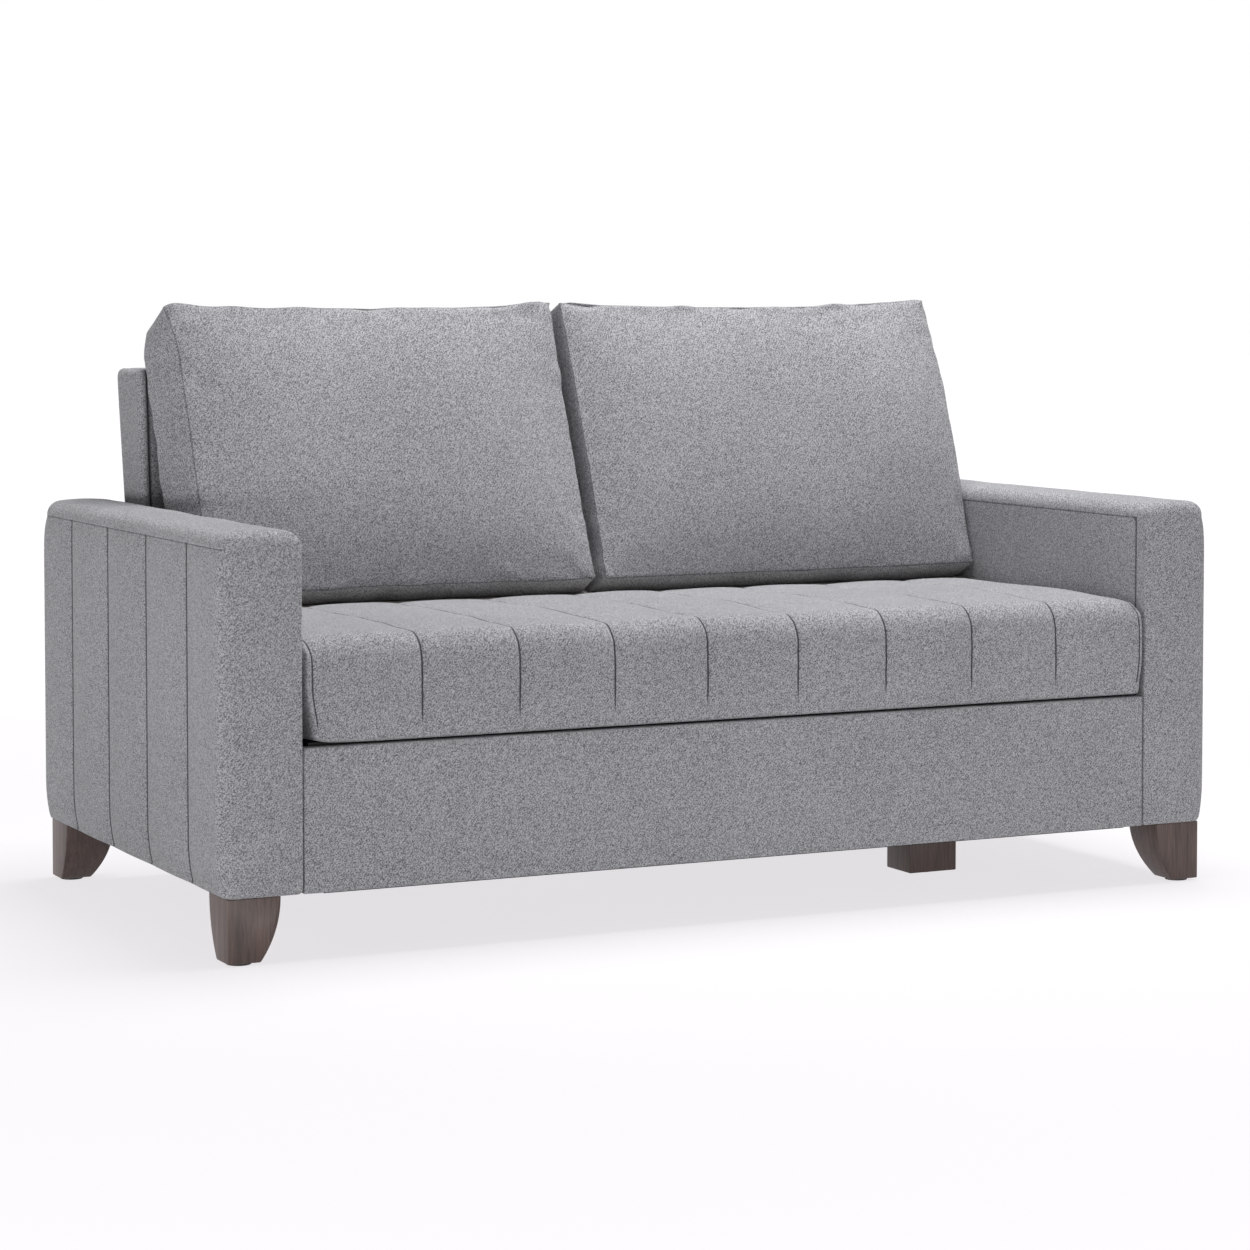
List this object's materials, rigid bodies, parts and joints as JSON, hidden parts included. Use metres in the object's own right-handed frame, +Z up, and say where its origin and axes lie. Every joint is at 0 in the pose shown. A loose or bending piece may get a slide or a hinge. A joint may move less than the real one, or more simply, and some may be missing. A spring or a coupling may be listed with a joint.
{
  "type": "sleeper sofa",
  "caption": "Two-seat sofa with square arms and loose cushions, whose channelled bench folds forward over a lifting linkage into a bed in level sections.",
  "frame": {"origin": "on the floor under the middle of the sofa's width and depth", "axes": "+X towards the right of someone facing the sofa, -Y towards the front, +Z up"},
  "size_m": [1.8, 0.93, 0.999],
  "materials": {
    "upholstery": "heathered grey twill",
    "ticking": "plain woven ticking",
    "dust_cloth": "thin black lining",
    "frame_wood": "bare plywood",
    "leg_wood": "dark satin stain",
    "glide": "matte",
    "section_steel": "satin black powder coat",
    "plated_steel": "zinc plated"
  },
  "bodies": {
    "sofa": {"back_frame": "frame_wood", "back_front_pad": "upholstery", "back_rear_panel": "upholstery", "bracket_bolts": "plated_steel", "cross_bearer": "frame_wood", "deck_cleats": "frame_wood", "dust_cover": "dust_cloth", "front_left_leg": "leg_wood", "front_rail_board": "frame_wood", "front_rail_cover": "upholstery", "front_right_leg": "leg_wood", "left_arm_band": "upholstery", "left_arm_frame": "frame_wood", "left_arm_inner_panel": "upholstery", "left_arm_outer_panel": "upholstery", "left_back_end_panel": "upholstery", "left_base_rail": "frame_wood", "left_lift_bracket": "plated_steel", "leg_glides": "glide", "middle_block_leg": "leg_wood", "rear_base_rail": "frame_wood", "rear_deck_board": "frame_wood", "rear_deck_pad": "ticking", "rear_left_leg": "leg_wood", "rear_right_leg": "leg_wood", "right_arm_band": "upholstery", "right_arm_frame": "frame_wood", "right_arm_inner_panel": "upholstery", "right_arm_outer_panel": "upholstery", "right_back_end_panel": "upholstery", "right_base_rail": "frame_wood", "right_lift_bracket": "plated_steel"},
    "front_left_lift_arm": {"front_left_lift_arm": "plated_steel"},
    "front_right_lift_arm": {"front_right_lift_arm": "plated_steel"},
    "rear_left_lift_arm": {"rear_left_lift_arm": "plated_steel"},
    "rear_right_lift_arm": {"rear_right_lift_arm": "plated_steel"},
    "head_section": {"left_head_side_frame": "section_steel", "right_head_side_frame": "section_steel", "head_cross_tubes": "section_steel", "head_deck": "frame_wood", "head_pad": "ticking"},
    "middle_section": {"left_middle_side_frame": "section_steel", "right_middle_side_frame": "section_steel", "middle_cross_tube": "section_steel", "middle_deck": "frame_wood", "middle_pad": "ticking", "middle_foot_brackets": "plated_steel"},
    "seat_section": {"seat_panel": "frame_wood", "left_seat_hinge_plate": "plated_steel", "right_seat_hinge_plate": "plated_steel", "seat_foot_brackets": "plated_steel"},
    "left_stay_link": {"left_stay_link": "plated_steel"},
    "right_stay_link": {"right_stay_link": "plated_steel"},
    "seat_feet": {"seat_foot_tube": "section_steel", "seat_foot_legs": "section_steel"},
    "middle_feet": {"middle_foot_tube": "section_steel", "middle_foot_legs": "section_steel"},
    "bench_cushion": {"bench_cushion": "upholstery"},
    "left_back_cushion": {"left_back_cushion": "upholstery"},
    "right_back_cushion": {"right_back_cushion": "upholstery"}
  },
  "joints": [
    {"name": "front_left_lift", "type": "hinge", "parent": "sofa", "child": "front_left_lift_arm", "pos_m": [-0.762, -0.40532, 0.26598], "axis": [1, 0, 0], "range_deg": [0, 83]},
    {"name": "front_right_lift", "type": "hinge", "parent": "sofa", "child": "front_right_lift_arm", "pos_m": [0.762, -0.40532, 0.26598], "axis": [1, 0, 0], "range_deg": [0, 83]},
    {"name": "rear_left_lift", "type": "hinge", "parent": "sofa", "child": "rear_left_lift_arm", "pos_m": [-0.762, -0.14496, 0.26598], "axis": [1, 0, 0], "range_deg": [0, 83]},
    {"name": "rear_right_lift", "type": "hinge", "parent": "sofa", "child": "rear_right_lift_arm", "pos_m": [0.762, -0.14496, 0.26598], "axis": [1, 0, 0], "range_deg": [0, 83]},
    {"name": "head_level", "type": "hinge", "parent": "front_left_lift_arm", "child": "head_section", "pos_m": [-0.762, -0.24536, 0.141], "axis": [1, 0, 0], "range_deg": [-83, 0]},
    {"name": "bed_fold", "type": "hinge", "parent": "head_section", "child": "middle_section", "pos_m": [0, -0.425, 0.2225], "axis": [1, 0, 0], "range_deg": [0, 180]},
    {"name": "seat_level", "type": "hinge", "parent": "middle_section", "child": "seat_section", "pos_m": [0, 0.069, 0.36025], "axis": [1, 0, 0], "range_deg": [-180, 0]},
    {"name": "left_stay_swing", "type": "hinge", "parent": "head_section", "child": "left_stay_link", "pos_m": [-0.7565, -0.41, 0.1875], "axis": [1, 0, 0], "range_deg": [0, 180]},
    {"name": "right_stay_swing", "type": "hinge", "parent": "head_section", "child": "right_stay_link", "pos_m": [0.7565, -0.41, 0.1875], "axis": [1, 0, 0], "range_deg": [0, 180]},
    {"name": "seat_feet_fold", "type": "hinge", "parent": "seat_section", "child": "seat_feet", "pos_m": [0, -0.365, 0.304], "axis": [1, 0, 0], "range_deg": [-90, 0]},
    {"name": "middle_feet_fold", "type": "hinge", "parent": "middle_section", "child": "middle_feet", "pos_m": [0, 0.029, 0.304], "axis": [1, 0, 0], "range_deg": [-90, 0]},
    {"name": "bench_lift", "type": "slide", "parent": "seat_section", "child": "bench_cushion", "axis": [0, 0, 1], "range_m": [0, 0.3]},
    {"name": "left_cushion_lift", "type": "slide", "parent": "sofa", "child": "left_back_cushion", "axis": [0, 0, 1], "range_m": [0, 0.3]},
    {"name": "right_cushion_lift", "type": "slide", "parent": "sofa", "child": "right_back_cushion", "axis": [0, 0, 1], "range_m": [0, 0.3]}
  ],
  "couplings": [
    {"joint": "front_left_lift", "follows": "bed_fold", "ratio": 0.46111},
    {"joint": "front_right_lift", "follows": "bed_fold", "ratio": 0.46111},
    {"joint": "rear_left_lift", "follows": "bed_fold", "ratio": 0.46111},
    {"joint": "rear_right_lift", "follows": "bed_fold", "ratio": 0.46111},
    {"joint": "head_level", "follows": "bed_fold", "ratio": -0.46111},
    {"joint": "seat_level", "follows": "bed_fold", "ratio": -1},
    {"joint": "left_stay_swing", "follows": "bed_fold", "ratio": 1},
    {"joint": "right_stay_swing", "follows": "bed_fold", "ratio": 1},
    {"joint": "seat_feet_fold", "follows": "bed_fold", "ratio": -0.5},
    {"joint": "middle_feet_fold", "follows": "bed_fold", "ratio": -0.5}
  ]
}
